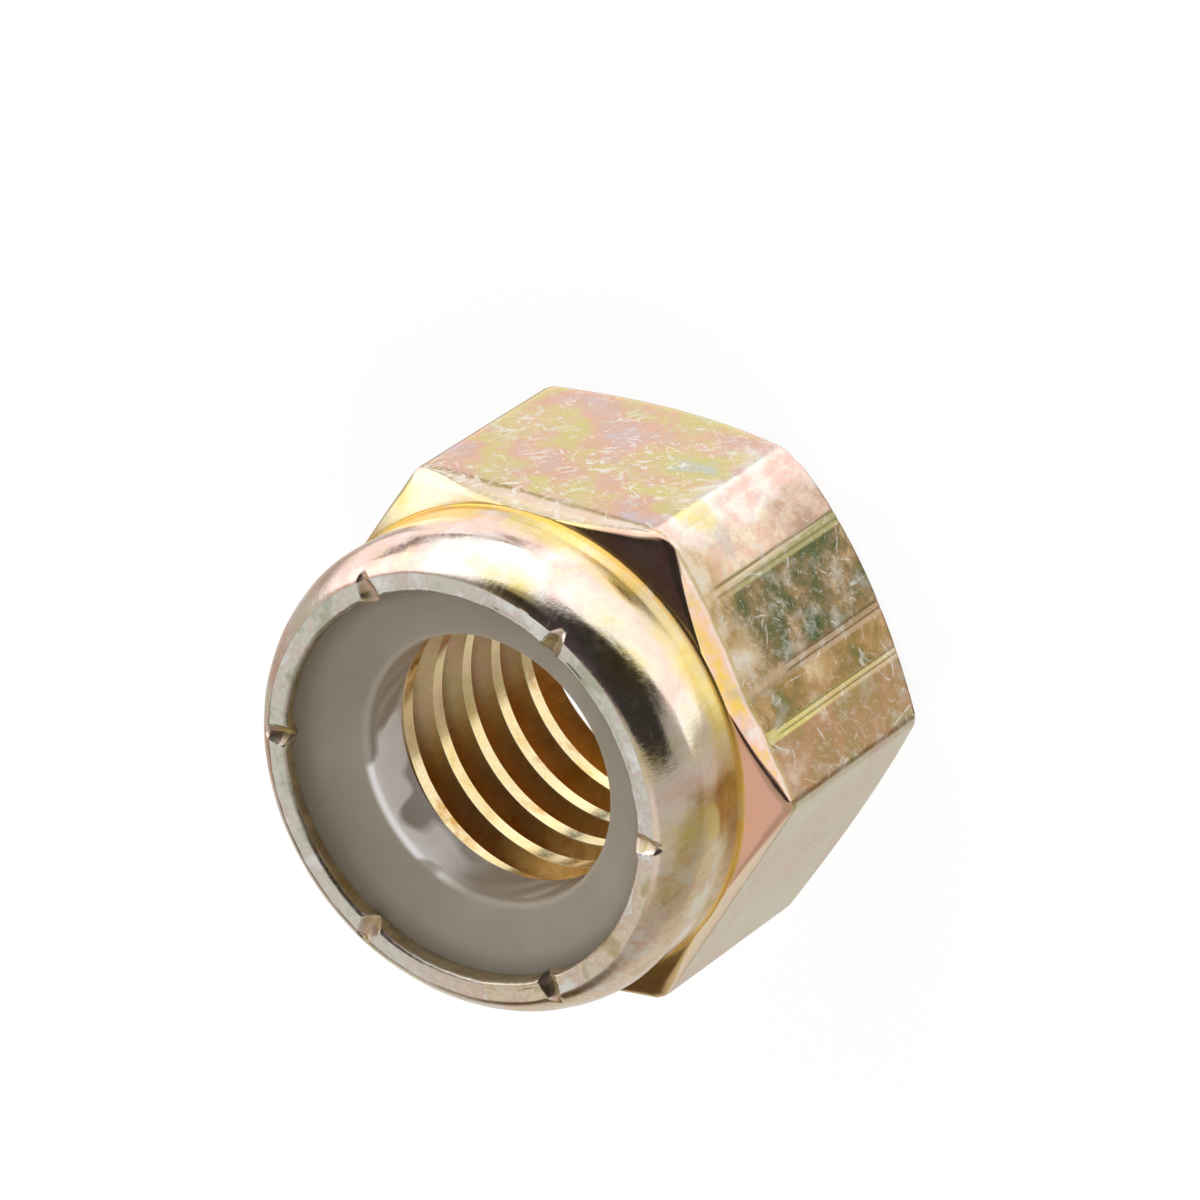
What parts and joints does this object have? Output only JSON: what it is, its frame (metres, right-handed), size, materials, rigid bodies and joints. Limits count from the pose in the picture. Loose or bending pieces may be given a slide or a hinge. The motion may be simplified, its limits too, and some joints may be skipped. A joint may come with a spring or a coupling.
{
  "type": "lock nut",
  "caption": "Hexagonal lock nut with a collar crimped over a plastic locking ring, threaded right through, in yellow zinc finish.",
  "frame": {"origin": "centre of the bearing face", "axes": "+Z along the bore towards the collar, +X through one of the hexagon's corners"},
  "size_m": [0.0216, 0.019, 0.0153],
  "materials": {
    "zinc_plated_steel": "yellow zinc plate, semi-bright",
    "natural_nylon": "smooth, slightly translucent"
  },
  "bodies": {
    "root": {"nut_body": "zinc_plated_steel", "locking_ring": "natural_nylon"}
  },
  "joints": []
}
